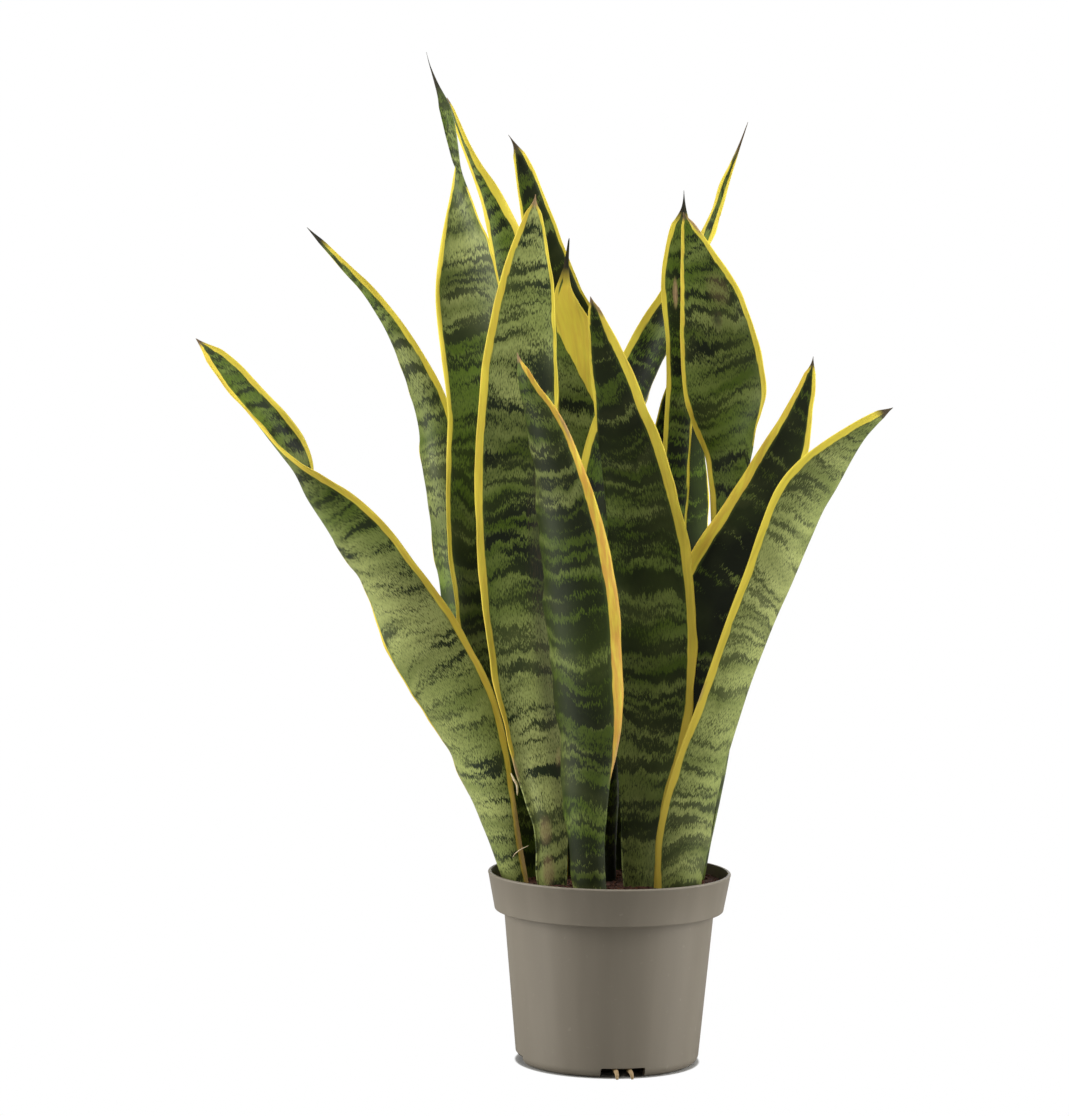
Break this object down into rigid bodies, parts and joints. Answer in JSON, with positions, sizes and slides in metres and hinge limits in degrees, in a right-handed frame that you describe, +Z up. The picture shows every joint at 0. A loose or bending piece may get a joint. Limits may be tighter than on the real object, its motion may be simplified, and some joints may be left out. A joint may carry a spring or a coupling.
{
  "type": "potted snake plant",
  "caption": "Upright sword-leaved houseplant with banded grey-green, yellow-edged leaves, growing in a plain round taupe plastic nursery pot.",
  "frame": {"origin": "centre of the pot's foot, on the surface it stands on", "axes": "+Z up, -Y the front, +X to the right when seen from the front"},
  "size_m": [0.4767, 0.1777, 0.7042],
  "materials": {
    "pot_plastic": "matte",
    "soil": "matte",
    "leaf": "satin",
    "root": "matte"
  },
  "bodies": {
    "root": {"nursery_pot": "pot_plastic", "potting_soil": "soil", "leaf_far_left_low": "leaf", "leaf_left_mid": "leaf", "leaf_back_left_tall": "leaf", "leaf_back_left_narrow": "leaf", "leaf_centre_tall": "leaf", "leaf_back_centre_dark": "leaf", "leaf_front_short": "leaf", "leaf_centre_yellow_edge": "leaf", "leaf_front_right_broad": "leaf", "leaf_right_back_broad": "leaf", "leaf_right_back_slender": "leaf", "leaf_right_back_hidden": "leaf", "leaf_far_back_leaning": "leaf", "leaf_right_leaning": "leaf", "leaf_far_right_front": "leaf", "root_left": "root", "root_right": "root"}
  },
  "joints": []
}
